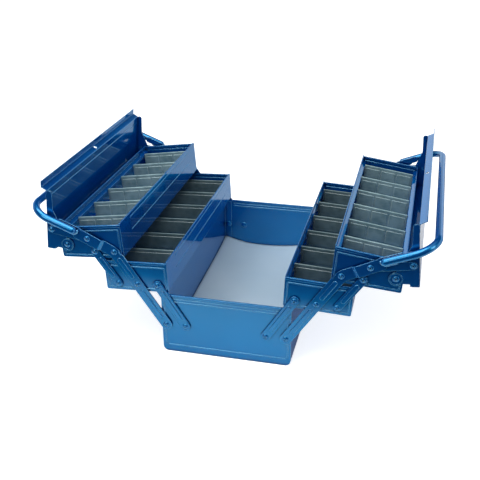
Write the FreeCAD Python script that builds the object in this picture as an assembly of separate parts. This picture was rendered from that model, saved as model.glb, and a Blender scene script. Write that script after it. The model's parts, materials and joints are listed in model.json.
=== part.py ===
import FreeCAD, Part
import math
import os

os.makedirs("parts", exist_ok=True)

# Three-tier cantilever tool box in millimetres: X across, Y along the box, Z up, origin under the base.
# Every piece is drawn for the right-hand side in the closed pose, where all trays are level,
# then moved to the open pose, which is the rest pose, and mirrored for the left-hand side.

# Smallest length that counts as one
tolerance = 1e-4

# Whole box
body_length = 412.0
body_width = 216.0
base_height = 107.5
sheet = 1.0
centre_clearance = 1.0
tier_clearance = 1.0
swing_angle = 68.0

# Pivots in the closed pose
base_pivot_drop = 55.0
base_pivot_inset = 8.0
base_pivot_spacing = 33.0
tray_pivot_spacing = 34.3
middle_outer_spacing = 32.6
upper_pivot_spacing = 33.4
middle_pivot_rise = 13.0
upper_pivot_rise = 12.0
upper_pivot_inset = 15.4
lid_hinge_inset = 11.4
lid_hinge_rise = 23.0
arm_link_shift = 3.64
arm_link_rise = 59.61
lid_link_reach = 23.84
lid_link_drop = 9.09
grip_rise = 163.5

# Trays
middle_rim_height = 54.0
upper_inner_rim_height = 60.7
upper_outer_rim_height = 54.8
end_wall_drop = 2.0
tray_bend_radius = 2.5
middle_rail_reach = 4.3
upper_rail_reach = 7.0
rail_drop = 8.0
rail_fall = 4.0
rail_lip = 4.0
rail_bend_radius = 1.0
rail_end_space = 2.0
hem_thickness = 1.0
hem_height = 5.0
hem_round = 0.9
wall_bead_depths = (8.0, 30.0)
wall_bead_width = 2.2
wall_bead_height = 0.5
wall_bead_round = 0.4
wall_bead_end_space = 45.0

# End walls and end panels
panel_relief = 0.8
rim_band_height = 4.0
border_inset = 3.6
border_width = 1.8
border_round = 0.5
bead_height = 0.4
bead_end_space = 5.0
arm_round = 1.0
tray_border_drop = 8.0
wall_corner_radius = 1.5

# Base
base_corner_radius = 9.0
base_border_side = 4.0
base_border_drop = 12.0
base_border_rise = 12.0
base_border_radius = 8.0
base_bead_drop = 7.0
base_flange_width = 14.0
liner_thickness = 0.8
liner_margin = 1.0

# Dividers
divider_sheet = 0.8
divider_first = 59.0
divider_pitch = 65.0
divider_end_space = 20.0
middle_divider_drop = 7.5
upper_divider_drop = 10.0
divider_waist_share = 0.5
divider_fold_width = 2.2
divider_fold_depth = 3.0
divider_foot = 8.0
divider_bend_radius = 0.9
divider_side_gap = 0.2
pad_height = 0.8
pad_round = 0.6
pad_drop = 5.5
pad_tall = 22.0
pad_space = 3.0
upper_pads = 3
middle_pads = 1

# Arms, measured outwards from the end walls
arm_gap = 0.3
arm_sheet = 2.0
arm_joggle = 4.2
joggle_start = 22.0
joggle_run = 4.0
joggle_bend_radius = 1.3
long_arm_width = 19.0
long_arm_bend_radius = 24.0
plate_length = 71.0
tongue_width = 11.0
tongue_length = 30.0
lower_arm_width = 16.0
upper_arm_width = 14.0
plate_end_radius = 4.0
rib_width = 7.0
rib_height = 1.2
rib_round = 0.9
rib_clear = 12.0
stop_tab_length = 7.0
stop_tab_depth = 2.6
stop_tab_sheet = 1.6
stop_tab_offset = 3.0

# Rivets
shank_radius = 2.5
running_clearance = 0.05
open_pivot_clearance = 0.4
head_radius = 5.2
head_height = 2.4
head_gap = 0.15
tail_radius = 4.2
tail_height = 1.2
base_tail_radius = 6.2
base_tail_height = 2.6
dimple_radius = 1.7
dimple_depth = 1.1
arm_tail_radius = 6.2
arm_tail_height = 0.8

# Lid, drawn level and then sloped with the upper tray's rims
lid_rest_gap = 1.4
lid_sheet = 1.0
lid_side_gap = 0.2
lid_lip_depth = 24.2
lid_lip_end_space = 8.0
lid_bend_radius = 1.6
lid_flange_foot = 7.8
lid_flange_lean = 4.3
lid_flange_heights = {"right": 11.6, "left": 9.6}
lid_edge_lip = 10.2
lid_bead_from_flange = 8.0
lid_bead_width = 5.0
lid_bead_height = 0.7
catch_hole_radius = 3.2
catch_hole_rise = 5.0
lid_end_gap = 0.4
lid_end_depth = 8.8
lid_end_corner = 4.0
lid_end_widening = (40.0, 10.5)
lid_ear_shoulder = (68.0, 24.5)
lid_ear_bend = 9.0
lid_tab_depth = 14.5
lid_tab_corner = 4.0
lid_notch_inset = 4.5
lid_notch_corner = 1.0
lid_lobe_radius = 11.4
boss_ring_radius = 10.0
boss_ring_width = 1.2
boss_ring_height = 0.3

# Lid links
link_gap = 1.2
link_sheet = 1.6
link_lid_radius = 6.5
link_arm_radius = 7.6
slot_half_width = 3.8
slot_length = 5.8
slot_offset = 1.0

# Handle
tube_radius = 6.0
tube_wall = 1.5
tube_bend_radius = 38.0
tube_start = 25.4
tube_offset = 4.5
weld_length = 26.0
weld_width = 5.0
weld_sink = 0.8

# Derived heights and layers
end_face = body_length / 2
panel_inner = end_face - panel_relief - sheet
panel_outer = end_face - panel_relief
middle_floor = base_height + tier_clearance
upper_floor = middle_floor + middle_rim_height + tier_clearance
tray_inner_x = centre_clearance
tray_outer_x = body_width / 2
lid_inner_y = end_face + lid_end_gap
lid_outer_y = lid_inner_y + lid_sheet
arm_inner_y = end_face + arm_gap
arm_outer_y = arm_inner_y + arm_sheet
plate_inner_y = arm_inner_y + arm_joggle
plate_outer_y = plate_inner_y + arm_sheet
link_inner_y = lid_outer_y + link_gap
link_outer_y = link_inner_y + link_sheet
tube_y = plate_outer_y + tube_radius


def add(p, q, share=1.0):
    return (p[0] + q[0] * share, p[1] + q[1] * share)


def unit(p, q):
    span = math.hypot(q[0] - p[0], q[1] - p[1])
    return ((q[0] - p[0]) / span, (q[1] - p[1]) / span)


def left_of(direction):
    return (-direction[1], direction[0])


def turned(point, centre, clockwise):
    a = math.radians(clockwise)
    dx, dz = point[0] - centre[0], point[1] - centre[1]
    return (centre[0] + dx * math.cos(a) + dz * math.sin(a),
            centre[1] - dx * math.sin(a) + dz * math.cos(a))


def distance(p, q):
    return math.hypot(p[0] - q[0], p[1] - q[1])


def meeting_point(p, p_reach, q, q_reach, side):
    # Where two links of known length meet, on the chosen side of the line from p to q
    span = distance(p, q)
    along = (span ** 2 + p_reach ** 2 - q_reach ** 2) / (2 * span)
    rise = math.sqrt(p_reach ** 2 - along ** 2)
    direction = unit(p, q)
    return add(add(p, direction, along), left_of(direction), side * rise)


def clockwise_turn(p, q, new_p, new_q):
    before = math.atan2(q[1] - p[1], q[0] - p[0])
    after = math.atan2(new_q[1] - new_p[1], new_q[0] - new_p[0])
    return math.degrees(before - after)


# Closed positions of the pivots
base_out = (body_width / 2 - base_pivot_inset, base_height - base_pivot_drop)
base_in = add(base_out, (-base_pivot_spacing, 0))
upper_arm = (tray_inner_x + upper_pivot_inset, upper_floor + upper_pivot_rise)
middle_rise = middle_floor + middle_pivot_rise - base_out[1]
middle_arm = add(base_out, (upper_arm[0] - base_out[0], upper_arm[1] - base_out[1]),
                 middle_rise / (upper_arm[1] - base_out[1]))
middle_in = add(middle_arm, (-tray_pivot_spacing, 0))
middle_out = add(middle_arm, (middle_outer_spacing, 0))
upper_out = add(upper_arm, (upper_pivot_spacing, 0))
lid_hinge = (tray_outer_x - lid_hinge_inset, upper_floor + lid_hinge_rise)
arm_link = (upper_arm[0] - arm_link_shift, upper_floor + arm_link_rise)
grip = (centre_clearance + tube_radius, upper_floor + grip_rise)

# The upper rims fall towards the outside, and the closed lid lies along them
rim_fall = upper_inner_rim_height - upper_outer_rim_height
lid_slope = math.degrees(math.atan2(rim_fall, tray_outer_x - tray_inner_x))
outer_rim = (tray_outer_x, upper_floor + upper_outer_rim_height)
lid_under = turned(outer_rim, lid_hinge, -lid_slope)[1] + lid_rest_gap
lid_top = lid_under + lid_sheet
lid_link = turned((lid_hinge[0] - lid_link_reach, lid_top - lid_link_drop), lid_hinge, lid_slope)

# The tube lies on the long arm's plate, near the plate's inner edge
plate_along = unit(upper_arm, arm_link)
tube_foot = add(add(arm_link, plate_along, tube_start), left_of(plate_along), tube_offset)
tube_along = unit(tube_foot, grip)

# Open positions, found by closing each four-bar loop
open_middle_arm = turned(middle_arm, base_out, swing_angle)
open_upper_arm = turned(upper_arm, base_out, swing_angle)
open_arm_link = turned(arm_link, base_out, swing_angle)
open_middle_in = meeting_point(base_in, distance(base_in, middle_in),
                               open_middle_arm, tray_pivot_spacing, 1)
middle_droop = clockwise_turn(middle_in, middle_arm, open_middle_in, open_middle_arm)
open_middle_out = add(open_middle_arm, turned((middle_outer_spacing, 0), (0, 0), middle_droop))
open_upper_out = meeting_point(open_upper_arm, upper_pivot_spacing,
                               open_middle_out, distance(middle_out, upper_out), 1)
upper_droop = clockwise_turn(upper_arm, upper_out, open_upper_arm, open_upper_out)
hinge_offset = (lid_hinge[0] - upper_arm[0], lid_hinge[1] - upper_arm[1])
open_lid_hinge = add(open_upper_arm, turned(hinge_offset, (0, 0), upper_droop))
open_lid_link = meeting_point(open_lid_hinge, distance(lid_hinge, lid_link),
                              open_arm_link, distance(arm_link, lid_link), -1)
lid_swing = clockwise_turn(lid_hinge, lid_link, open_lid_hinge, open_lid_link)
link_swing = clockwise_turn(arm_link, lid_link, open_arm_link, open_lid_link)
lower_arm_swing = clockwise_turn(base_in, middle_in, base_in, open_middle_in)
upper_arm_swing = clockwise_turn(middle_out, upper_out, open_middle_out, open_upper_out)

# Each moving group: its pivot closed, its pivot open, and its clockwise turn on opening
moves = {
    "base": (base_out, base_out, 0.0),
    "handle": (base_out, base_out, swing_angle),
    "lower_arms": (base_in, base_in, lower_arm_swing),
    "middle_tray": (middle_arm, open_middle_arm, middle_droop),
    "upper_arms": (middle_out, open_middle_out, upper_arm_swing),
    "upper_tray": (upper_arm, open_upper_arm, upper_droop),
    "lid": (lid_hinge, open_lid_hinge, lid_swing),
    "lid_links": (lid_link, open_lid_link, link_swing),
}


def in_xz(point):
    return FreeCAD.Vector(point[0], 0, point[1])


def in_yz(point):
    return FreeCAD.Vector(0, point[0], point[1])


def outline_face(corners, plane=in_xz):
    # A closed outline whose corners are (u, v, radius); a radius of 0 stays sharp
    count = len(corners)
    stops = []
    for i in range(count):
        here = corners[i][:2]
        before = corners[i - 1][:2]
        after = corners[(i + 1) % count][:2]
        radius = corners[i][2]
        back = unit(here, before)
        ahead = unit(here, after)
        cosine = max(-1.0, min(1.0, back[0] * ahead[0] + back[1] * ahead[1]))
        half = math.acos(cosine) / 2
        if radius <= 0 or abs(math.cos(half)) < tolerance:
            stops.append((here, None, here))
            continue
        reach = radius / math.tan(half)
        middle = unit((0, 0), add(back, ahead))
        centre = add(here, middle, radius / math.sin(half))
        stops.append((add(here, back, reach), add(centre, middle, -radius), add(here, ahead, reach)))
    edges = []
    for i in range(count):
        start, crown, end = stops[i]
        following = stops[(i + 1) % count][0]
        if crown is not None:
            edges.append(Part.Arc(plane(start), plane(crown), plane(end)).toShape())
        if distance(end, following) > tolerance:
            edges.append(Part.LineSegment(plane(end), plane(following)).toShape())
    return Part.Face(Part.Wire(edges))


def ribbon_corners(path, width, bend_radius=0.0, end_radius=0.0):
    # The outline of a strip of constant width along a path of straight runs
    # A corner may carry its own bend radius as a third value
    left, right = [], []
    half = width / 2
    bends = [point[2] if len(point) > 2 else bend_radius for point in path]
    path = [point[:2] for point in path]
    for i, point in enumerate(path):
        if i == 0 or i == len(path) - 1:
            direction = unit(path[0], path[1]) if i == 0 else unit(path[-2], path[-1])
            shift = left_of(direction)
            left.append((*add(point, shift, half), end_radius))
            right.append((*add(point, shift, -half), end_radius))
            continue
        before = left_of(unit(path[i - 1], point))
        after = left_of(unit(point, path[i + 1]))
        dot = before[0] * after[0] + before[1] * after[1]
        mitre = add((0, 0), add(before, after), 1 / (1 + dot))
        cross = before[0] * after[1] - before[1] * after[0]
        inner = max(bends[i] - half, 0)
        outer = bends[i] + half if bends[i] > 0 else 0
        left.append((*add(point, mitre, half), inner if cross > 0 else outer))
        right.append((*add(point, mitre, -half), outer if cross > 0 else inner))
    return left + right[::-1]


def along_y(corners, start, end):
    solid = outline_face(corners).extrude(FreeCAD.Vector(0, end - start, 0))
    solid.translate(FreeCAD.Vector(0, start, 0))
    return solid


def along_x(corners, start, end):
    solid = outline_face(corners, in_yz).extrude(FreeCAD.Vector(end - start, 0, 0))
    solid.translate(FreeCAD.Vector(start, 0, 0))
    return solid


def front_layer(corners, inner, outer):
    # A flat piece at the front end; inner and outer are distances from the middle of the box
    return along_y(corners, -outer, -inner)


def box_corners(x_low, x_high, z_low, z_high, radius=0.0):
    return [(x_low, z_low, radius), (x_high, z_low, radius),
            (x_high, z_high, radius), (x_low, z_high, radius)]


def rod(centre, radius, inner, outer):
    return Part.makeCylinder(radius, outer - inner, FreeCAD.Vector(centre[0], -outer, centre[1]),
                             FreeCAD.Vector(0, 1, 0))


def rounded_front(solid, outer, radius):
    # Rounds every edge of the piece that lies on its outermost face
    edges = [e for e in solid.Edges if all(abs(v.Y + outer) < tolerance for v in e.Vertexes)
             and abs(e.CenterOfMass.y + outer) < tolerance]
    return solid.makeFillet(radius, edges)


def joined(solids):
    shape = solids[0].multiFuse(solids[1:]) if len(solids) > 1 else solids[0]
    return shape.removeSplitter()


def mirrored_end(shape):
    return shape.mirror(FreeCAD.Vector(0, 0, 0), FreeCAD.Vector(0, 1, 0))


def write(name, shape):
    shape.exportStep(f"parts/{name}.step")
    print(f"{name}: solids {len(shape.Solids)} volume {shape.Volume:.0f} valid {shape.isValid()}")


def moved_shape(shape, start, end, clockwise):
    turning = FreeCAD.Rotation(FreeCAD.Vector(0, 1, 0), clockwise)
    placement = FreeCAD.Placement(in_xz(end) - in_xz(start), turning, in_xz(start))
    moved = shape.copy()
    moved.transformShape(placement.toMatrix(), True)
    return moved


def place(name, shape, group, side):
    moved = moved_shape(shape, *moves[group])
    if side == "left":
        moved = moved.mirror(FreeCAD.Vector(0, 0, 0), FreeCAD.Vector(1, 0, 0))
    write(f"{side}_{name}", moved)


def dome(centre, radius, height, face, outwards):
    # A shallow dome standing on a face; outwards is 1 away from the middle of the box, -1 towards it
    ball = (radius ** 2 + height ** 2) / (2 * height)
    half = math.asin(radius / ball) / 2

    def section(wide, high):
        return FreeCAD.Vector(centre[0] + wide, -(face + outwards * high), centre[1])

    foot, rim, crown = section(0, 0), section(radius, 0), section(0, height)
    shoulder = section(ball * math.sin(half), height - ball + ball * math.cos(half))
    edges = [Part.LineSegment(foot, rim).toShape(), Part.Arc(rim, shoulder, crown).toShape(),
             Part.LineSegment(crown, foot).toShape()]
    return Part.Face(Part.Wire(edges)).revolve(in_xz(centre), FreeCAD.Vector(0, 1, 0), 360)


def rivet(centre, tail_face, tail_high, tail_wide, head_face):
    # A domed tubular rivet; the faces are distances from the middle of the box
    pieces = [rod(centre, shank_radius, tail_face, head_face),
              dome(centre, head_radius, head_height, head_face, 1)]
    if tail_high > 0:
        pieces.append(dome(centre, tail_wide, tail_high, tail_face, -1))
    crown = head_face + head_height
    return joined(pieces).cut(rod(centre, dimple_radius, crown - dimple_depth, crown))


def tray_rivet(centre):
    return rivet(centre, panel_inner, tail_height, tail_radius, arm_outer_y + head_gap)


def rim_hem(face_x, rim_z, outwards, reach):
    # The folded rim: a double thickness with a rounded top, inside the wall's outer face
    back_x = face_x - outwards * (sheet + hem_thickness)
    low, high = min(face_x, back_x), max(face_x, back_x)
    corners = [(low, rim_z - hem_height, 0), (high, rim_z - hem_height, 0),
               (high, rim_z, hem_round), (low, rim_z, hem_round)]
    return along_y(corners, -reach, reach)


def wall_beads(face_x, rim_z, outwards):
    # Two raised lines on a wall's outer face
    reach = panel_inner - wall_bead_end_space
    top_x = face_x + outwards * wall_bead_height
    beads = []
    for depth in wall_bead_depths:
        low_z = rim_z - depth - wall_bead_width / 2
        high_z = low_z + wall_bead_width
        corners = [(face_x, low_z, 0), (top_x, low_z, wall_bead_round),
                   (top_x, high_z, wall_bead_round), (face_x, high_z, 0)]
        beads.append(along_y(corners, -reach, reach))
    return beads


def divider_rail(face_x, rim_z, outwards, rail_reach):
    # A folded rail inside a wall: it slopes inwards under the rim and turns down
    lip_x = face_x - outwards * rail_reach
    lip_z = rim_z - rail_drop - rail_fall
    path = [(face_x - outwards * sheet / 2, rim_z - rail_drop), (lip_x, lip_z, rail_bend_radius),
            (lip_x, lip_z - rail_lip)]
    reach = panel_inner - rail_end_space
    return along_y(ribbon_corners(path, sheet), -reach, reach)


def tray_trough(floor, inner_rim, outer_rim, rail_reach):
    inner_x, outer_x = tray_inner_x + sheet / 2, tray_outer_x - sheet / 2
    floor_z = floor + sheet / 2
    path = [(inner_x, inner_rim - hem_thickness), (inner_x, floor_z, tray_bend_radius),
            (outer_x, floor_z, tray_bend_radius), (outer_x, outer_rim - hem_thickness)]
    pieces = [along_y(ribbon_corners(path, sheet), -panel_inner, panel_inner)]
    for face_x, rim_z, outwards in ((tray_inner_x, inner_rim, -1), (tray_outer_x, outer_rim, 1)):
        pieces.append(rim_hem(face_x, rim_z, outwards, panel_inner))
        pieces.append(divider_rail(face_x, rim_z, outwards, rail_reach))
        pieces += wall_beads(face_x, rim_z, outwards)
    return joined(pieces)


def border_ring(corners, radius):
    # A raised line round a field; the corners run low left, low right, high right, high left
    inward = ((1, 1), (-1, 1), (-1, -1), (1, -1))
    outer = [(x, z, radius) for x, z in corners]
    inner = [(x + border_width * i, z + border_width * j, max(radius - border_width, border_round))
             for (x, z), (i, j) in zip(corners, inward)]
    ring = front_layer(outer, panel_outer, end_face).cut(front_layer(inner, panel_outer, end_face))
    return rounded_front(ring, end_face, border_round)


def rim_band(high_left, high_right, inset):
    low = [(x, z - rim_band_height, 0) for x, z, radius in (high_left, high_right)]
    left, right, high_right, high_left = low + [high_right, high_left]
    return [(left[0] + inset, left[1], 0), (right[0] - inset, right[1], 0),
            (high_right[0] - inset, *high_right[1:]), (high_left[0] + inset, *high_left[1:])]


def bead(left, right, inner, outer):
    # A straight raised line, level or sloping, between two distances from the middle of the box
    low = [(x, z - border_width, 0) for x, z in (left, right)]
    return front_layer(low + [(*right, 0), (*left, 0)], inner, outer)


def end_plate(corners, border, border_radius, wall_space):
    # An end wall: flat sheet, rim folded round the top edge, a raised border line, a line inside too
    high_right, high_left = corners[2:]
    field = front_layer(corners, panel_inner, panel_outer)
    rim = front_layer(rim_band(high_left, high_right, 0), panel_outer, end_face)
    rim = rounded_front(rim, end_face, border_round)
    hem_corners = rim_band(high_left, high_right, sheet + hem_thickness)
    hem = front_layer(hem_corners, panel_inner - hem_thickness, panel_inner)
    (right_x, right_z), (left_x, left_z) = border[2:]
    left, right = (corners[0][0] + wall_space, left_z), (corners[1][0] - wall_space, right_z)
    return joined([field, rim, hem, border_ring(border, border_radius),
                   bead(left, right, panel_inner - bead_height, panel_inner)])


def holed(shape, centres, radius):
    for centre in centres:
        shape = shape.cut(rod(centre, radius, 0, tube_y))
    return shape


def tray_end(floor, inner_rim, outer_rim, pivots):
    inner_top, outer_top = inner_rim - end_wall_drop, outer_rim - end_wall_drop
    low_x, high_x = tray_inner_x, tray_outer_x
    fold_radius = tray_bend_radius + sheet / 2
    corners = [(low_x, floor, fold_radius), (high_x, floor, fold_radius),
               (high_x, outer_top, wall_corner_radius), (low_x, inner_top, wall_corner_radius)]
    border = [(low_x + border_inset, floor + border_inset), (high_x - border_inset, floor + border_inset),
              (high_x - border_inset, outer_top - tray_border_drop),
              (low_x + border_inset, inner_top - tray_border_drop)]
    plate = end_plate(corners, border, wall_corner_radius, bead_end_space)
    return holed(plate, pivots, shank_radius + running_clearance)


def divider(front_y, floor, inner_top, outer_top, rail_reach, pads):
    # One zinc-plated sheet between the rails: foot turned forwards, folded sloping top, pressed pads
    inset = rail_reach + sheet / 2 + divider_side_gap
    low_x, high_x = tray_inner_x + inset, tray_outer_x - inset
    wide = high_x - low_x
    low = floor + sheet + divider_sheet / 2
    waist = floor + (outer_top - floor) * divider_waist_share
    back = front_y + divider_sheet / 2
    foot_path = [(back - divider_foot, low), (back, low, divider_bend_radius), (back, waist)]
    fold_path = [(back, waist - (inner_top - outer_top)), (back, inner_top, divider_bend_radius),
                 (back + divider_fold_width, inner_top, divider_bend_radius),
                 (back + divider_fold_width, inner_top - divider_fold_depth)]
    fold = outline_face(ribbon_corners(fold_path, divider_sheet), in_yz)
    fold = fold.extrude(FreeCAD.Vector(wide, 0, outer_top - inner_top))
    fold.translate(FreeCAD.Vector(low_x, 0, 0))
    pieces = [along_x(ribbon_corners(foot_path, divider_sheet), low_x, high_x), fold]
    pad_wide = (wide - pad_space * (pads + 1)) / pads
    for i in range(pads):
        start = low_x + pad_space + i * (pad_wide + pad_space)
        sides = [(x, inner_top + (outer_top - inner_top) * (x - low_x) / wide - pad_drop)
                 for x in (start, start + pad_wide)]
        corners = [(x, z - pad_tall, pad_space / 2) for x, z in sides]
        corners += [(x, z, pad_space / 2) for x, z in sides[::-1]]
        pad = along_y(corners, front_y - pad_height, front_y)
        pieces.append(rounded_front(pad, pad_height - front_y, pad_round))
    return joined(pieces)


def tray_dividers(floor, inner_rim, outer_rim, rail_reach, drop, pads):
    count = int((body_length - divider_first - divider_end_space) // divider_pitch) + 1
    rows = [divider_first + i * divider_pitch - end_face for i in range(count)]
    tops = (inner_rim - drop, outer_rim - drop)
    return Part.makeCompound([divider(y, floor, *tops, rail_reach, pads) for y in rows])


def capsule(p, q, width, overhang):
    # A strip with round ends that reach past both points
    direction = unit(p, q)
    path = [add(p, direction, -overhang), add(q, direction, overhang)]
    return ribbon_corners(path, width, 0, width / 2)


def rib(p, q):
    top = arm_outer_y + rib_height
    solid = front_layer(capsule(p, q, rib_width, -rib_clear), arm_outer_y, top)
    return rounded_front(solid, top, rib_round)


def short_arm(p, q, width, fixed, loose):
    strip = front_layer(capsule(p, q, width, width / 2), arm_inner_y, arm_outer_y)
    strip = joined([rounded_front(strip, arm_outer_y, arm_round), rib(p, q)])
    strip = holed(strip, [fixed], shank_radius + running_clearance)
    return holed(strip, [loose], shank_radius + open_pivot_clearance)


def long_arm():
    lower = unit(base_out, upper_arm)
    along = plate_along
    across = left_of(along)
    start = add(base_out, lower, -long_arm_width / 2)
    path = [start, (*upper_arm, long_arm_bend_radius), add(upper_arm, along, plate_length)]
    outline = ribbon_corners(path, long_arm_width, 0, plate_end_radius)
    tongue_path = [add(tube_foot, tube_along, -tongue_width), add(tube_foot, tube_along, tongue_length)]
    tongue = ribbon_corners(tongue_path, tongue_width, 0, plate_end_radius)
    block = joined([front_layer(c, arm_inner_y, plate_outer_y) for c in (outline, tongue)])
    heel = box_corners(base_out[0] - long_arm_width, base_out[0] + long_arm_width,
                       base_out[1] - long_arm_width, base_out[1])
    foot = capsule(base_out, middle_arm, long_arm_width, long_arm_width / 2)
    block = joined([block.cut(front_layer(heel, arm_inner_y, plate_outer_y)),
                    front_layer(foot, arm_inner_y, plate_outer_y)])

    # The joggle: the sheet steps outwards past the lid's end and the link
    near, far = arm_inner_y + arm_sheet / 2, plate_inner_y + arm_sheet / 2
    reach = body_width
    profile = [(-reach, near), (joggle_start, near, joggle_bend_radius),
               (joggle_start + joggle_run, far, joggle_bend_radius), (reach, far)]

    def beside(point):
        spot = add(add(upper_arm, along, point[0]), across, -reach)
        return FreeCAD.Vector(spot[0], -point[1], spot[1])

    bent = outline_face(ribbon_corners(profile, arm_sheet), beside)
    bent = bent.extrude(FreeCAD.Vector(across[0] * 2 * reach, 0, across[1] * 2 * reach))
    arm = block.common(bent)

    side = left_of(lower)
    edge = add(upper_arm, side, long_arm_width / 2 - stop_tab_sheet / 2)
    tab_path = [add(edge, lower, -stop_tab_offset - stop_tab_length), add(edge, lower, -stop_tab_offset)]
    tab = front_layer(ribbon_corners(tab_path, stop_tab_sheet), arm_outer_y, arm_outer_y + stop_tab_depth)
    arm = joined([arm, tab, rib(base_out, middle_arm), rib(middle_arm, upper_arm)])
    return holed(arm, [base_out, middle_arm, upper_arm, arm_link], shank_radius + running_clearance)


def lid_bead_points(base_z):
    # The raised line along the lid, beside its flange, from the outer edge inwards
    near_x = lid_flange_foot + lid_bead_from_flange
    far_x = near_x + lid_bead_width
    return [(far_x, base_z), (far_x - lid_bead_height, base_z + lid_bead_height),
            (near_x + lid_bead_height, base_z + lid_bead_height), (near_x, base_z)]


def lid_cover(side):
    # Outer lip, panel with a raised line, leaning flange with the catch hole, overlapping lip
    panel_z = lid_under + lid_sheet / 2
    outer_x = tray_outer_x + lid_side_gap + lid_sheet / 2
    flange_x = lid_flange_foot - lid_flange_lean
    flange_z = panel_z + lid_flange_heights[side]
    path = [(outer_x, lid_top - lid_lip_depth), (outer_x, panel_z, lid_bend_radius),
            *lid_bead_points(panel_z), (lid_flange_foot, panel_z, lid_bend_radius),
            (flange_x, flange_z, lid_bend_radius), (flange_x - lid_edge_lip, flange_z)]
    cover = along_y(ribbon_corners(path, lid_sheet), -lid_inner_y, lid_inner_y)
    hole_start = FreeCAD.Vector(flange_x - sheet, 0, panel_z + catch_hole_rise)
    hole = Part.makeCylinder(catch_hole_radius, lid_flange_lean + 2 * sheet, hole_start,
                             FreeCAD.Vector(1, 0, 0))
    # The lip is cut back behind the front plate's notch
    relief = box_corners(tray_outer_x, outer_x + lid_sheet, lid_top - lid_lip_depth,
                         lid_top - lid_tab_depth)
    relief = front_layer(relief, lid_inner_y - lid_lip_end_space, lid_inner_y)
    return moved_shape(cover.cut(hole).cut(relief), lid_hinge, lid_hinge, lid_slope)


def lid_end(tab_depth, tab_corner):
    outer_x = tray_outer_x + lid_side_gap + lid_sheet
    free_x = lid_flange_foot - lid_sheet / 2
    notch_x = outer_x - lid_notch_inset
    corners = [(outer_x, lid_top, lid_bend_radius), *[(*p, 0) for p in lid_bead_points(lid_top)],
               (free_x, lid_top, lid_end_corner),
               (free_x, lid_top - lid_end_depth, lid_end_corner),
               (lid_end_widening[0], lid_top - lid_end_widening[1], lid_ear_bend),
               (lid_ear_shoulder[0], lid_top - lid_ear_shoulder[1], lid_ear_bend),
               (lid_hinge[0] - lid_lobe_radius, lid_hinge[1], 0), (notch_x, lid_hinge[1], 0),
               (notch_x, lid_top - tab_depth, lid_notch_corner),
               (outer_x, lid_top - tab_depth, tab_corner)]
    plate = joined([front_layer(corners, lid_inner_y, lid_outer_y),
                    rod(lid_hinge, lid_lobe_radius, lid_inner_y, lid_outer_y)])
    boss_top = lid_outer_y + boss_ring_height
    boss = rod(lid_hinge, boss_ring_radius, lid_outer_y, boss_top)
    boss = boss.cut(rod(lid_hinge, boss_ring_radius - boss_ring_width, lid_outer_y, boss_top))
    plate = moved_shape(joined([plate, boss]), lid_hinge, lid_hinge, lid_slope)
    return holed(plate, [lid_hinge, lid_link], shank_radius + running_clearance)


def lid_link_bar():
    direction = unit(lid_link, arm_link)
    across = left_of(direction)
    corners = [(*add(lid_link, across, link_lid_radius), 0), (*add(lid_link, across, -link_lid_radius), 0),
               (*add(arm_link, across, -link_arm_radius), 0), (*add(arm_link, across, link_arm_radius), 0)]
    bar = joined([front_layer(corners, link_inner_y, link_outer_y),
                  rod(lid_link, link_lid_radius, link_inner_y, link_outer_y),
                  rod(arm_link, link_arm_radius, link_inner_y, link_outer_y)])
    bar = holed(bar, [lid_link], shank_radius + running_clearance)
    # The pin drifts along this slot and to one side of it in mid-travel
    slot_start = add(arm_link, across, slot_offset)
    slot_end = add(slot_start, direction, -slot_length)
    slot = capsule(slot_end, slot_start, 2 * slot_half_width, slot_half_width)
    return bar.cut(front_layer(slot, 0, tube_y))


def handle_tube():
    start, along = tube_foot, tube_along
    run = distance(start, grip)

    def flat(point):
        return FreeCAD.Vector(start[0] + along[0] * point[0], point[1], start[1] + along[1] * point[0])

    bend = run - tube_bend_radius
    turn_y = tube_y - tube_bend_radius
    crown = tube_bend_radius * math.sqrt(0.5)
    stops = [(0, -tube_y), (bend, -tube_y), (bend + crown, -turn_y - crown), (run, -turn_y),
             (run, turn_y), (bend + crown, turn_y + crown), (bend, tube_y), (0, tube_y)]
    stops = [flat(stop) for stop in stops]
    route = Part.Wire([Part.LineSegment(*stops[:2]).toShape(), Part.Arc(*stops[1:4]).toShape(),
                       Part.LineSegment(*stops[3:5]).toShape(), Part.Arc(*stops[4:7]).toShape(),
                       Part.LineSegment(*stops[6:]).toShape()])
    normal = FreeCAD.Vector(along[0], 0, along[1])
    solids = []
    for radius in (tube_radius, tube_radius - tube_wall):
        ring = Part.Wire([Part.Circle(flat((0, -tube_y)), normal, radius).toShape()])
        solids.append(route.makePipeShell([ring], True, True))
    # Each end is closed by a rounded cap
    cap = Part.makeSphere(tube_radius, flat((0, -tube_y)))
    tube = solids[0].cut(solids[1]).fuse([cap, mirrored_end(cap)])
    seam_path = [start, add(start, along, weld_length)]
    seam = front_layer(ribbon_corners(seam_path, weld_width), plate_outer_y, plate_outer_y + weld_sink)
    return joined([tube, seam, mirrored_end(seam)])


def base_tub():
    side_x = body_width / 2 - sheet / 2
    path = [(-side_x, base_height - hem_thickness), (-side_x, sheet / 2, base_corner_radius),
            (side_x, sheet / 2, base_corner_radius), (side_x, base_height - hem_thickness)]
    tub = along_y(ribbon_corners(path, sheet), -panel_inner, panel_inner)
    hems = [rim_hem(side * body_width / 2, base_height, side, panel_inner) for side in (-1, 1)]
    # Upright flanges folded in at the four corners, against the end panels
    inner_x = body_width / 2 - sheet
    low = base_corner_radius + sheet
    high = base_height - rim_band_height
    flange = front_layer(box_corners(inner_x - base_flange_width, inner_x, low, high),
                         panel_inner - sheet, panel_inner)
    flange = holed(flange, [base_out], shank_radius + running_clearance)
    other = flange.mirror(FreeCAD.Vector(0, 0, 0), FreeCAD.Vector(1, 0, 0))
    return joined([tub, *hems, flange, other, mirrored_end(flange), mirrored_end(other)])


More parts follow.
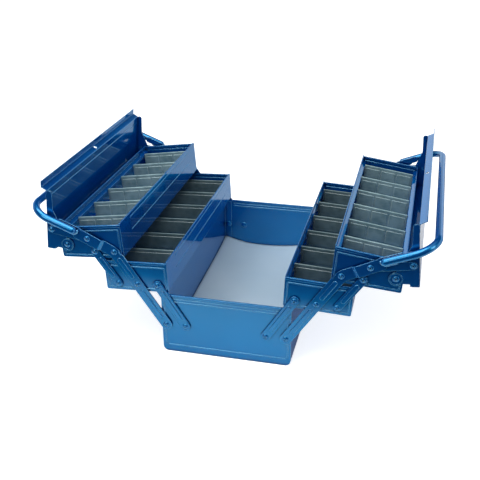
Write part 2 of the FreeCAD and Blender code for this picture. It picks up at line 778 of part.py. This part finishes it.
def base_panel():
    half = body_width / 2
    fold_radius = base_corner_radius + sheet / 2
    corners = [(-half, 0, fold_radius), (half, 0, fold_radius),
               (half, base_height, wall_corner_radius), (-half, base_height, wall_corner_radius)]
    side_x = half - base_border_side
    border = [(-side_x, base_border_rise), (side_x, base_border_rise),
              (side_x, base_height - base_border_drop), (-side_x, base_height - base_border_drop)]
    inner_space = sheet + base_flange_width + bead_end_space
    panel = end_plate(corners, border, base_border_radius, inner_space)
    bead_z = base_height - base_bead_drop
    reach = half - inner_space
    lines = [bead((-side_x, bead_z), (side_x, bead_z), panel_outer, panel_outer + bead_height),
             bead((-reach, bead_z), (reach, bead_z), panel_inner - bead_height, panel_inner)]
    panel = joined([panel, *lines])
    pivots = [(side * p[0], p[1]) for side in (-1, 1) for p in (base_in, base_out)]
    return holed(panel, pivots, shank_radius + running_clearance)


def base_liner():
    # A loose card sheet lying on the floor
    half = body_width / 2 - base_corner_radius - liner_margin
    reach = panel_inner - hem_thickness - liner_margin
    corners = box_corners(-half, half, sheet, sheet + liner_thickness)
    return along_y(corners, -reach, reach)


def both_ends(shapes):
    return Part.makeCompound([s for shape in shapes for s in (shape, mirrored_end(shape))])


base_rivets = [rivet((side * p[0], p[1]), face, base_tail_height, base_tail_radius, arm_outer_y + head_gap)
               for side in (-1, 1) for p, face in ((base_in, panel_inner), (base_out, panel_inner - sheet))]
front_panel = base_panel()
write("base_tub", base_tub())
write("base_front_panel", front_panel)
write("base_rear_panel", mirrored_end(front_panel))
write("base_liner", base_liner())
write("base_rivets", both_ends(base_rivets))

middle_pivots = [middle_in, middle_arm, middle_out]
upper_pivots = [upper_arm, upper_out, lid_hinge]
middle_rims = (middle_floor + middle_rim_height, middle_floor + middle_rim_height)
upper_rims = (upper_floor + upper_inner_rim_height, upper_floor + upper_outer_rim_height)
hinge_rivet = rivet(lid_hinge, panel_inner, tail_height, tail_radius, lid_outer_y + head_gap)
upper_rivets = [tray_rivet(upper_arm), tray_rivet(upper_out), hinge_rivet]
lid_rivet = rivet(lid_link, lid_inner_y, 0, 0, link_outer_y + head_gap)
arm_rivet = rivet(arm_link, link_inner_y - head_gap, arm_tail_height, arm_tail_radius,
                  plate_outer_y + head_gap)

troughs = {
    "middle_tray": (tray_trough(middle_floor, *middle_rims, middle_rail_reach),
                    tray_end(middle_floor, *middle_rims, middle_pivots),
                    tray_dividers(middle_floor, *middle_rims, middle_rail_reach,
                                  middle_divider_drop, middle_pads),
                    both_ends([tray_rivet(p) for p in middle_pivots])),
    "upper_tray": (tray_trough(upper_floor, *upper_rims, upper_rail_reach),
                   tray_end(upper_floor, *upper_rims, upper_pivots),
                   tray_dividers(upper_floor, *upper_rims, upper_rail_reach,
                                 upper_divider_drop, upper_pads),
                   both_ends(upper_rivets)),
}
end_pieces = {
    "long_arm": ("handle", long_arm()),
    "lower_arm": ("lower_arms", short_arm(base_in, middle_in, lower_arm_width, base_in, middle_in)),
    "upper_arm": ("upper_arms", short_arm(middle_out, upper_out, upper_arm_width, middle_out, upper_out)),
    "lid_link": ("lid_links", lid_link_bar()),
}
# The rear plate's tab reaches as far down as the lid's lip
lid_ends = {"front": lid_end(lid_tab_depth, lid_tab_corner),
            "rear": mirrored_end(lid_end(lid_lip_depth, lid_notch_corner))}
tube = handle_tube()

for side in ("right", "left"):
    for group, (trough, end, dividers, rivets) in troughs.items():
        place(f"{group}_trough", trough, group, side)
        place(f"{group}_front_wall", end, group, side)
        place(f"{group}_rear_wall", mirrored_end(end), group, side)
        place(f"{group}_dividers", dividers, group, side)
        place(f"{group}_rivets", rivets, group, side)
    for name, (group, shape) in end_pieces.items():
        place(f"{name}_front", shape, group, side)
        place(f"{name}_rear", mirrored_end(shape), group, side)
    for end, shape in lid_ends.items():
        place(f"lid_end_{end}", shape, "lid", side)
    place("lid_cover", lid_cover(side), "lid", side)
    place("lid_rivets", both_ends([lid_rivet]), "lid", side)
    place("handle_tube", tube, "handle", side)
    place("handle_rivets", both_ends([arm_rivet]), "handle", side)

# Joint data for the record, right-hand side, in millimetres and degrees clockwise on opening
for group, (closed, opened, turn) in moves.items():
    print(f"{group}: open pivot x {opened[0]:.4f} z {opened[1]:.4f} opens by {turn:.4f}")
for name, spot in (("grip", turned(grip, base_out, swing_angle)), ("arm_link", open_arm_link)):
    print(f"{name}: open x {spot[0]:.4f} z {spot[1]:.4f}")
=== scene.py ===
# Looks, camera and light for the cantilever tool box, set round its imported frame.
import json
import math
import bpy
from mathutils import Matrix, Vector


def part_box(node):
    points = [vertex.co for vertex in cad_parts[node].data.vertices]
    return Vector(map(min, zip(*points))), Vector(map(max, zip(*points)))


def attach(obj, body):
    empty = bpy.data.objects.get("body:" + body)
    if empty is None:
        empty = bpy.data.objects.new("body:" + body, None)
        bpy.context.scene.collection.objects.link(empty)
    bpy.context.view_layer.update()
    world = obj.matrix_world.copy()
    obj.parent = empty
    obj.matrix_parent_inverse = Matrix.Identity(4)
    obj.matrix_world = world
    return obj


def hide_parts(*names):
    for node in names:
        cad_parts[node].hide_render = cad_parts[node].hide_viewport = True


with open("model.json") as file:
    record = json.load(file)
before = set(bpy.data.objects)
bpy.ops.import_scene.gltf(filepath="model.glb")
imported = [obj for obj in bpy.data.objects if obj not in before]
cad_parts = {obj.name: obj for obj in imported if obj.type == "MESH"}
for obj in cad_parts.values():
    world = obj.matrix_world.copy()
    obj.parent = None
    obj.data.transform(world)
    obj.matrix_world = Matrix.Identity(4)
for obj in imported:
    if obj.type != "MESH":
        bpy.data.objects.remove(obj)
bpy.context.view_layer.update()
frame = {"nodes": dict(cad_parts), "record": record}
nodes = frame["nodes"]
mm = 0.001
print("frame loaded:", len(nodes), "nodes")


# Node building
shading = {
    "bevelSamples": 4,
    "creviceSamples": 8,
    "creviceRange": (0.35, 0.92),
}


class Wire:
    # A value socket that takes arithmetic: every operator adds one Math node
    def __init__(self, look, socket):
        self.look, self.socket = look, socket

    def __add__(self, other):
        return self.look.maths("ADD", self, other)

    __radd__ = __add__

    def __sub__(self, other):
        return self.look.maths("SUBTRACT", self, other)

    def __rsub__(self, other):
        return self.look.maths("SUBTRACT", other, self)

    def __mul__(self, other):
        return self.look.maths("MULTIPLY", self, other)

    __rmul__ = __mul__


class Look:
    # A node tree being built
    def __init__(self, tree):
        self.tree = tree
        tree.nodes.clear()

    def node(self, kind, settings=None, sockets=None, output=0):
        # Any node: its settings first, then the values or links of its sockets, by name or number.
        # A kind without the word Node in it is a shader node.
        made = self.tree.nodes.new(kind if "Node" in kind else "ShaderNode" + kind)
        for name, value in (settings or {}).items():
            setattr(made, name, value)
        for key, value in (sockets or {}).items():
            if isinstance(value, Wire):
                self.tree.links.new(value.socket, made.inputs[key])
            else:
                made.inputs[key].default_value = value
        return Wire(self, made.outputs[output]) if len(made.outputs) else made

    def maths(self, operation, first, second):
        return self.node("Math", {"operation": operation}, {0: first, 1: second})

    def blend(self, share, low, high):
        return self.node("Mix", {"data_type": "RGBA"}, {0: share, 6: low, 7: high}, 2)

    def ramp(self, value, low, high):
        return self.node("MapRange", {"interpolation_type": "SMOOTHSTEP"},
                         {"Value": value, "From Min": low, "From Max": high})

    def noise(self, scale, detail=2.0, stretch=(1, 1, 1)):
        place = self.node("TexCoord", output="Object")
        if stretch != (1, 1, 1):
            place = self.node("Mapping", None, {"Vector": place, "Scale": stretch})
        return self.node("TexNoise", None, {"Vector": place, "Scale": scale, "Detail": detail})

    def ray(self, kind):
        return self.node("LightPath", output=kind)

    def edges(self, radius):
        # A normal rounded within the radius, and a mask: 0 on the flat, rising where two faces meet
        flat = self.node("NewGeometry", output="Normal")
        soft = self.node("Bevel", {"samples": shading["bevelSamples"]}, {"Radius": radius})
        dot = self.node("VectorMath", {"operation": "DOT_PRODUCT"}, {0: flat, 1: soft}, "Value")
        return soft, 1 - dot

    def openness(self, reach):
        # 0 deep in a narrow hollow or groove, 1 on an open face
        samples = {"samples": shading["creviceSamples"]}
        seen = self.node("AmbientOcclusion", samples, {"Distance": reach}, "AO")
        return self.ramp(seen, *shading["creviceRange"])


def newLook(name):
    material = bpy.data.materials.new(name)
    material.use_nodes = True
    return material, Look(material.node_tree)


def finishLook(look, shader):
    world = shader.socket.node.type == "BACKGROUND"
    look.node("OutputWorld" if world else "OutputMaterial", None, {0: shader})


enamel = {
    "deep": (0.0003, 0.062, 0.34, 1),
    "bright": (0.0006, 0.082, 0.40, 1),
    # Painted highlight: the edge colours of the enamel and of its steel layer stand in for light caught
    # along the edges
    "edge": (0.06, 0.38, 0.80, 1),
    "steel": (0.012, 0.33, 0.60, 1),
    "steelHighlight": (0.35, 0.72, 0.92, 1),
    "steelShare": 0.50,
    "grazing": (0.25, 0.60, 0.90, 1),
    "roughness": 0.24,
    "coatRoughness": 0.03,
    "coatWeight": 0.85,
    "roughnessSpread": 0.10,
    "edgeRadius": 1.3 * mm,
    # How far in from the edges the painted highlight reaches, and its strongest share
    "highlightRange": (0.015, 0.17),
    "highlightMost": 0.9,
    # Painted shade: a dark blue laid into grooves and gaps between parts, within the reach below
    "creviceShade": (0.0002, 0.020, 0.13, 1),
    "creviceReach": 9 * mm,
    "cloud": (7.0, 2.0),
    "cloudRange": (0.35, 0.65),
    "wave": (38.0, 1.0),
    "waveDepth": 0.09 * mm,
}


def blueEnamel(name, highlightLeast=0.0):
    # Clear blue stoved over bright steel, with a painted highlight lightening it along the edges, on
    # slightly wavy sheet
    material, look = newLook(name)
    cloud = look.noise(*enamel["cloud"])
    wave = look.noise(*enamel["wave"])
    soft, edge = look.edges(enamel["edgeRadius"])
    # Painted highlight: share of the lighter edge colour, rising along the edges; a weld's copy also
    # gets part of it over its whole surface
    highlightShare = look.ramp(edge, *enamel["highlightRange"]) * (enamel["highlightMost"] - highlightLeast) + highlightLeast
    roughness = enamel["roughness"] + (cloud - 0.5) * enamel["roughnessSpread"]
    bump = look.node("Bump", None, {"Height": wave, "Distance": enamel["waveDepth"], "Strength": 1.0,
                                    "Normal": soft})
    gloss = {"Roughness": roughness, "Coat Weight": enamel["coatWeight"],
             "Coat Roughness": enamel["coatRoughness"], "Normal": bump}
    body = look.blend(look.ramp(cloud, *enamel["cloudRange"]), enamel["deep"], enamel["bright"])
    # Painted shade: the enamel and steel colours darken where nearby parts hem the surface in
    openness = look.openness(enamel["creviceReach"])
    body = look.blend(highlightShare, look.blend(openness, enamel["creviceShade"], body), enamel["edge"])
    steel = look.blend(openness, enamel["creviceShade"], enamel["steel"])
    steel = look.blend(highlightShare, steel, enamel["steelHighlight"])
    body = look.node("BsdfPrincipled", None, {"Base Color": body, "Specular IOR Level": 0.0, **gloss})
    steel = look.node("BsdfPrincipled", None, {"Base Color": steel, "Metallic": 1.0,
                                               "Specular Tint": enamel["grazing"], **gloss})
    finishLook(look, look.node("MixShader", None, {0: enamel["steelShare"], 1: body, 2: steel}))
    return material


zinc = {
    "dark": (0.18, 0.30, 0.325, 1),
    "light": (0.33, 0.48, 0.50, 1),
    # Painted highlight: near-white colour for the folded edges
    "edge": (0.80, 0.86, 0.86, 1),
    # Painted shade: tone factor for the zinc copy on the middle trays' dividers, which lie in shade
    "shadedShare": 0.48,
    "metallic": 0.35,
    "roughness": 0.42,
    "roughnessSpread": 0.25,
    "edgeRadius": 0.9 * mm,
    # Painted highlight: how far in the near-white edge colour reaches, and its strongest share
    "edgeRange": (0.02, 0.25),
    "edgeMost": 0.85,
    "spangleScale": 90.0,
    "spangleMiddle": 0.4,
    "spangleShare": 0.35,
    "cloud": (28.0, 4.0),
    "brush": (60.0, 2.0, (1, 1, 14)),
    "brushShare": 0.3,
    "brushDepth": 0.03 * mm,
    "brushStrength": 0.3,
    "toneRange": (0.2, 0.85),
}


def zincSheet(name, share=1.0):
    # Galvanised sheet: faint spangle, rolled grain, folded edges lightened with a painted highlight
    material, look = newLook(name)
    # A share below 1 darkens both tones: painted shade
    dark, light = ([share * value for value in zinc[tone][:3]] + [1] for tone in ("dark", "light"))
    place = look.node("TexCoord", output="Object")
    spangle = look.node("TexVoronoi", None, {"Vector": place, "Scale": zinc["spangleScale"]})
    cloud = look.noise(*zinc["cloud"])
    brush = look.noise(*zinc["brush"])
    soft, edge = look.edges(zinc["edgeRadius"])
    mottle = cloud + (spangle - zinc["spangleMiddle"]) * zinc["spangleShare"]
    tone = look.ramp(mottle + (brush - 0.5) * zinc["brushShare"], *zinc["toneRange"])
    colour = look.blend(tone, dark, light)
    # Painted highlight: near-white blended in along the folded edges
    colour = look.blend(look.ramp(edge, *zinc["edgeRange"]) * zinc["edgeMost"], colour, zinc["edge"])
    bump = look.node("Bump", None, {"Height": brush, "Distance": zinc["brushDepth"],
                                    "Strength": zinc["brushStrength"], "Normal": soft})
    roughness = zinc["roughness"] + (brush - 0.5) * zinc["roughnessSpread"]
    shader = look.node("BsdfPrincipled", None, {"Base Color": colour, "Metallic": zinc["metallic"],
                                                "Roughness": roughness, "Normal": bump})
    finishLook(look, shader)
    return material


card = {
    "colour": (0.52, 0.65, 0.74, 1),
    "shade": (0.45, 0.59, 0.69, 1),
    "roughness": 0.38,
    "roughnessSpread": 0.15,
    "cloud": (6.0, 3.0),
    "cloudRange": (0.3, 0.7),
    "grain": (700.0, 2.0),
    "grainDepth": 0.02 * mm,
    "grainStrength": 0.3,
}


def linerCard():
    # Smooth pale card, faintly clouded
    material, look = newLook("linerCard")
    cloud = look.noise(*card["cloud"])
    grain = look.noise(*card["grain"])
    colour = look.blend(look.ramp(cloud, *card["cloudRange"]), card["shade"], card["colour"])
    bump = look.node("Bump", None, {"Height": grain, "Distance": card["grainDepth"],
                                    "Strength": card["grainStrength"]})
    roughness = card["roughness"] + (grain - 0.5) * card["roughnessSpread"]
    shader = look.node("BsdfPrincipled", None, {"Base Color": colour, "Roughness": roughness,
                                                "Normal": bump})
    finishLook(look, shader)
    return material


# Every node gets its slot's finish. The middle trays' dividers, deep in the shade, get a darker copy of
# the zinc: painted shade.
finishes = {
    "blue_enamel": blueEnamel("blueEnamel"),
    "zinc_sheet": zincSheet("zincSheet"),
    "liner_card": linerCard(),
}
shadedZinc = zincSheet("shadedZincSheet", zinc["shadedShare"])
slotOf = {part["node"]: part["material_slot"] for part in frame["record"]["subparts"]}
for name, piece in nodes.items():
    piece.data.materials.clear()
    lowDividers = name.endswith("middle_tray_dividers")
    piece.data.materials.append(shadedZinc if lowDividers else finishes[slotOf[name]])
print("materials set:", len(finishes))


# Floor liner, a card sheet that has curled up along its left and rear edges
liner = {
    "thickness": 0.6 * mm,
    "columns": 48,
    "rows": 80,
    "leftEdge": -106.4 * mm,
    "rearEdge": 203.0 * mm,
    "leftReach": 62 * mm,
    "leftLift": (3.7 * mm, 17.2 * mm),
    "rearReach": 90 * mm,
    "rearLift": (10.3 * mm, 16.5 * mm),
    "rearLowest": -25 * mm,
    "rearCurve": 1.2,
    "cornerDrop": 11.2 * mm,
}


def curledLiner():
    low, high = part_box("base_liner")
    width, length = high[0] - liner["leftEdge"], liner["rearEdge"] - low[1]
    rows, columns = liner["rows"], liner["columns"]
    frontLift, backLift = liner["leftLift"]
    rearLeast, rearMost = liner["rearLift"]
    points = []
    for level in (0, liner["thickness"]):
        for j in range(rows + 1):
            for i in range(columns + 1):
                x = liner["leftEdge"] + width * i / columns
                y = low[1] + length * j / rows
                left = max(0, 1 - width * i / columns / liner["leftReach"]) ** 2
                rear = max(0, 1 - (liner["rearEdge"] - y) / liner["rearReach"]) ** 2
                leftLift = frontLift + (backLift - frontLift) * j / rows
                rearLift = min(rearLeast + liner["rearCurve"] * (x - liner["rearLowest"]) ** 2, rearMost)
                lift = left * leftLift + rear * rearLift - left * rear * liner["cornerDrop"]
                points.append((x, y, low[2] + level + lift))
    wide, layer = columns + 1, (rows + 1) * (columns + 1)
    faces = []
    for j in range(rows):
        for i in range(columns):
            corner = j * wide + i
            ring = (corner, corner + 1, corner + 1 + wide, corner + wide)
            faces.append(tuple(reversed(ring)))
            faces.append(tuple(k + layer for k in ring))
    rim = [i for i in range(columns)] + [columns + j * wide for j in range(rows)]
    rim += [rows * wide + columns - i for i in range(columns)] + [(rows - j) * wide for j in range(rows)]
    for start, end in zip(rim, rim[1:] + rim[:1]):
        faces.append((start, end, end + layer, start + layer))
    mesh = bpy.data.meshes.new("curledLiner")
    mesh.from_pydata(points, [], faces)
    for face in mesh.polygons:
        face.use_smooth = len(face.vertices) == 4 and face.index < 2 * rows * columns
    sheet = bpy.data.objects.new("curledLiner", mesh)
    bpy.context.scene.collection.objects.link(sheet)
    mesh.materials.append(finishes["liner_card"])
    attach(sheet, "base")
    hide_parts("base_liner")


curledLiner()
print("liner laid")

# Weld round each foot of the handle tubes, laid in overlapping ripples
weld = {
    # Painted highlight: share of the edge-highlight blue laid over the whole weld, standing in for the
    # light its ripples catch
    "highlightLeast": 0.6,
    "ballDetail": 3,
    "end": (246.26 * mm, 212.62 * mm),
    "slope": 21.5,
    "face": 214.9 * mm,
    "offset": 6.6 * mm,
    "run": 15 * mm,
    "turn": math.radians(105),
    "pitch": 1.6 * mm,
    "ripple": 2.6 * mm,
    "uneven": 0.12,
    "seed": 4,
}


def weldPath(side, end):
    # Along the tube's lower edge and partly round its closed end, clear of the other handle when shut
    slope, offset, pitch = math.radians(weld["slope"]), weld["offset"], weld["pitch"]
    route = [(weld["run"] - i * pitch, -offset) for i in range(int(weld["run"] / pitch))]
    turns = int(weld["turn"] * offset / pitch)
    for i in range(turns):
        turn = weld["turn"] * i / turns
        route.append((-offset * math.sin(turn), -offset * math.cos(turn)))
    points = []
    for along, across in route:
        x = weld["end"][0] + along * math.cos(slope) - across * math.sin(slope)
        z = weld["end"][1] + along * math.sin(slope) + across * math.cos(slope)
        points.append((side * x, end * weld["face"], z))
    return points


def rippleTree():
    # One uneven ball at each point of the path
    tree = bpy.data.node_groups.new("weldRipples", "GeometryNodeTree")
    sockets = [("Geometry", "INPUT", "Geometry"), ("Ripple Radius", "INPUT", "Float"),
               ("Unevenness", "INPUT", "Float"), ("Seed", "INPUT", "Int"),
               ("Geometry", "OUTPUT", "Geometry")]
    for name, way, kind in sockets:
        tree.interface.new_socket(name, in_out=way, socket_type="NodeSocket" + kind)
    look = Look(tree)
    given = {name: look.node("NodeGroupInput", output=name) for name, way, kind in sockets[:4]}
    ball = look.node("GeometryNodeMeshIcoSphere", None, {"Radius": given["Ripple Radius"],
                                                         "Subdivisions": weld["ballDetail"]})
    size = look.node("FunctionNodeRandomValue", {"data_type": "FLOAT"},
                     {2: 1 - given["Unevenness"], 3: 1 + given["Unevenness"], "Seed": given["Seed"]}, 1)
    ripples = look.node("GeometryNodeInstanceOnPoints", None,
                        {"Points": given["Geometry"], "Instance": ball, "Scale": size})
    solid = look.node("GeometryNodeRealizeInstances", None, {"Geometry": ripples})
    # The weld's enamel, lightened all over with painted highlight
    highlitEnamel = blueEnamel("highlitEnamel", weld["highlightLeast"])
    dressed = look.node("GeometryNodeSetMaterial", None, {"Geometry": solid, "Material": highlitEnamel})
    look.node("NodeGroupOutput", None, {0: dressed})
    return tree


def layWelds(side, way, tree):
    # One mesh for each handle frame, with the welds of its front and rear foot
    mesh = bpy.data.meshes.new(side + "Welds")
    mesh.from_pydata(weldPath(way, -1) + weldPath(way, 1), [], [])
    bead = bpy.data.objects.new(side + "Welds", mesh)
    bpy.context.scene.collection.objects.link(bead)
    modifier = bead.modifiers.new("ripples", "NODES")
    modifier.node_group = tree
    values = {"Ripple Radius": weld["ripple"], "Unevenness": weld["uneven"], "Seed": weld["seed"]}
    for item in tree.interface.items_tree:
        if item.in_out == "INPUT" and item.name in values:
            modifier[item.identifier] = values[item.name]
    bead.update_tag()
    evaluated = bead.evaluated_get(bpy.context.evaluated_depsgraph_get())
    bead.data = bpy.data.meshes.new_from_object(evaluated)
    bead.modifiers.clear()
    for face in bead.data.polygons:
        face.use_smooth = True
    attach(bead, side + "_handle")


ripples = rippleTree()
for side, way in (("right", 1), ("left", -1)):
    layWelds(side, way, ripples)
print("welds laid")

# Floor, world and lamps
studio = {
    "floorSize": 30.0,
    "darkFrom": -0.44,
    "darkTo": -0.39,
    "darkSkew": 0.06,
    "floorFar": (0.02, 0.02, 0.022, 1),
    "floorNear": (0.88, 0.89, 0.90, 1),
    "backGlow": 1.08,
    "frontGlow": 0.03,
    "overGlow": 0.6,
    "frontEnds": -0.10,
    "backStarts": 0.35,
    "backdropTop": 0.28,
    "darkAbove": 0.48,
    "boxStarts": 0.72,
    "boxFull": 0.92,
    "ambient": 0.42,
    "floorGlow": 0.72,
}


def paleFloor():
    # White as the camera sees it. In the enamel it is bright near the box and dark further off.
    half = studio["floorSize"]
    mesh = bpy.data.meshes.new("floor")
    corners = [(-half, -half, 0), (half, -half, 0), (half, half, 0), (-half, half, 0)]
    mesh.from_pydata(corners, [], [(0, 1, 2, 3)])
    floor = bpy.data.objects.new("floor", mesh)
    bpy.context.scene.collection.objects.link(floor)
    material, look = newLook("paleFloor")
    place = look.node("NewGeometry", output="Position")
    along, across = (look.node("SeparateXYZ", None, {0: place}, axis) for axis in ("Y", "X"))
    near = look.ramp(along - across * studio["darkSkew"], studio["darkFrom"], studio["darkTo"])
    seen = look.ray("Is Camera Ray")
    colour = look.blend(near, studio["floorFar"], studio["floorNear"])
    plain = look.node("BsdfDiffuse", None, {"Color": look.blend(seen, colour, studio["floorNear"])})
    glow = look.node("Emission", None, {"Color": (1, 1, 1, 1), "Strength": seen * studio["floorGlow"]})
    finishLook(look, look.node("AddShader", None, {0: plain, 1: glow}))
    mesh.materials.append(material)


def studioWorld():
    # What gloss mirrors: a white backdrop low behind, a dark room above and in front, a softbox overhead
    world = bpy.data.worlds.new("studio")
    bpy.context.scene.world = world
    world.use_nodes = True
    look = Look(world.node_tree)
    direction = look.node("TexCoord", output="Generated")
    behind, above = (look.node("SeparateXYZ", None, {0: direction}, axis) for axis in ("Y", "Z"))
    back = look.ramp(behind, studio["frontEnds"], studio["backStarts"])
    low = 1 - look.ramp(above, studio["backdropTop"], studio["darkAbove"])
    over = look.ramp(above, studio["boxStarts"], studio["boxFull"])
    mirrored = studio["frontGlow"] + back * low * studio["backGlow"] + over * studio["overGlow"]
    glossy, seen = look.ray("Is Glossy Ray"), look.ray("Is Camera Ray")
    level = glossy * mirrored + (1 - glossy) * studio["ambient"]
    level = seen + (1 - seen) * level
    finishLook(look, look.node("Background", None, {"Color": (1, 1, 1, 1), "Strength": level}))


lamps = {
    "topSoftbox": {"at": (-0.25, -0.30, 1.50), "aim": (0, 0, 0.15), "size": (1.7, 1.2), "power": 18.0},
    "frontFill": {"at": (-0.75, -1.35, 1.0), "aim": (0, -0.1, 0.12), "size": (0.9, 0.7), "power": 5.5},
    "rightFill": {"at": (1.5, -0.5, 0.9), "aim": (0, 0, 0.15), "size": (0.5, 1.1), "power": 5.0},
}


def lamp(name, spec):
    light = bpy.data.lights.new(name, "AREA")
    light.shape = "RECTANGLE"
    light.size, light.size_y = spec["size"]
    light.energy = spec["power"]
    lampObject = bpy.data.objects.new(name, light)
    lampObject.location = spec["at"]
    aim = Vector(spec["aim"]) - Vector(spec["at"])
    lampObject.rotation_euler = aim.to_track_quat("-Z", "Y").to_euler()
    bpy.context.scene.collection.objects.link(lampObject)


paleFloor()
studioWorld()
for name, spec in lamps.items():
    lamp(name, spec)
print("studio set")

# Camera, as the photograph was taken
viewpoint = {
    "at": (0.28730, -1.26728, 0.74320),
    "azimuth": 13.859,
    "elevation": 25.615,
    "roll": -0.402,
    "lens": 59.478,
    "sensor": 36.0,
    "clip": (0.05, 100.0),
}


def photoCamera():
    azimuth, elevation, roll = (math.radians(viewpoint[k]) for k in ("azimuth", "elevation", "roll"))
    ahead = Vector((-math.sin(azimuth) * math.cos(elevation), math.cos(azimuth) * math.cos(elevation),
                    -math.sin(elevation)))
    level = Vector((math.cos(azimuth), math.sin(azimuth), 0))
    upright = level.cross(ahead)
    right = math.cos(roll) * level + math.sin(roll) * upright
    up = math.cos(roll) * upright - math.sin(roll) * level
    lens = bpy.data.cameras.new("photoCamera")
    lens.lens, lens.sensor_width = viewpoint["lens"], viewpoint["sensor"]
    lens.clip_start, lens.clip_end = viewpoint["clip"]
    camera = bpy.data.objects.new("photoCamera", lens)
    turn = Matrix((right, up, -ahead)).transposed().to_4x4()
    camera.matrix_world = Matrix.Translation(viewpoint["at"]) @ turn
    bpy.context.scene.collection.objects.link(camera)
    bpy.context.scene.camera = camera


photoCamera()
bpy.context.scene.view_settings.view_transform = "Standard"
